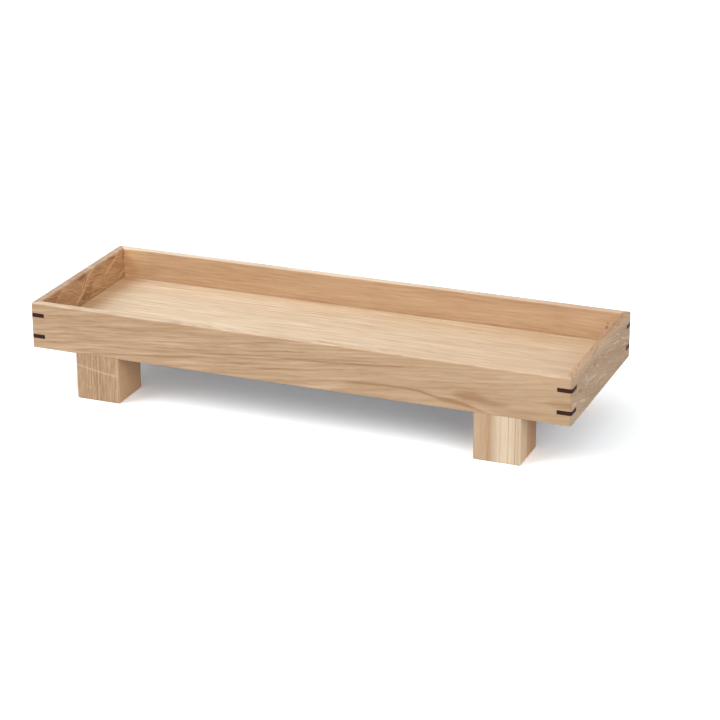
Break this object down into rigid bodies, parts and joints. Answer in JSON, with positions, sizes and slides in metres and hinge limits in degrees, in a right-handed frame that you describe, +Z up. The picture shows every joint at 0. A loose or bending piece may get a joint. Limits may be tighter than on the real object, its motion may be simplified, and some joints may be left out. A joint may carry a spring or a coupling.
{
  "type": "footed tray",
  "caption": "Long low oak tray with mitred rails keyed by dark splines, a veneered floor set in grooves and block legs, for carrying or displaying small things.",
  "frame": {"origin": "on the ground plane under the middle of the tray", "axes": "+X along the tray to the right, +Y from the front rail to the back rail, +Z up"},
  "size_m": [0.36, 0.124, 0.0605],
  "materials": {
    "oak_rail": "oiled flat-sawn oak, long grain along the rail",
    "oak_end_rail": "oiled quarter-sawn oak with ray flecks",
    "oak_leg": "oiled oak, upright grain",
    "oak_veneer": "oiled straight-grained oak veneer",
    "board_core": "raw board",
    "dark_spline": "oiled very dark hardwood",
    "beech_dowel": "raw beech"
  },
  "bodies": {
    "root": {"front_rail": "oak_rail", "back_rail": "oak_rail", "left_end_rail": "oak_end_rail", "right_end_rail": "oak_end_rail", "spline_front_left_lower": "dark_spline", "spline_front_left_upper": "dark_spline", "spline_front_right_lower": "dark_spline", "spline_front_right_upper": "dark_spline", "spline_back_left_lower": "dark_spline", "spline_back_left_upper": "dark_spline", "spline_back_right_lower": "dark_spline", "spline_back_right_upper": "dark_spline", "base_core": "board_core", "base_top_veneer": "oak_veneer", "base_bottom_veneer": "oak_veneer", "leg_front_left": "oak_leg", "leg_front_right": "oak_leg", "leg_back_left": "oak_leg", "leg_back_right": "oak_leg", "dowel_front_left_outer": "beech_dowel", "dowel_front_left_inner": "beech_dowel", "dowel_front_right_outer": "beech_dowel", "dowel_front_right_inner": "beech_dowel", "dowel_back_left_outer": "beech_dowel", "dowel_back_left_inner": "beech_dowel", "dowel_back_right_outer": "beech_dowel", "dowel_back_right_inner": "beech_dowel"}
  },
  "joints": []
}
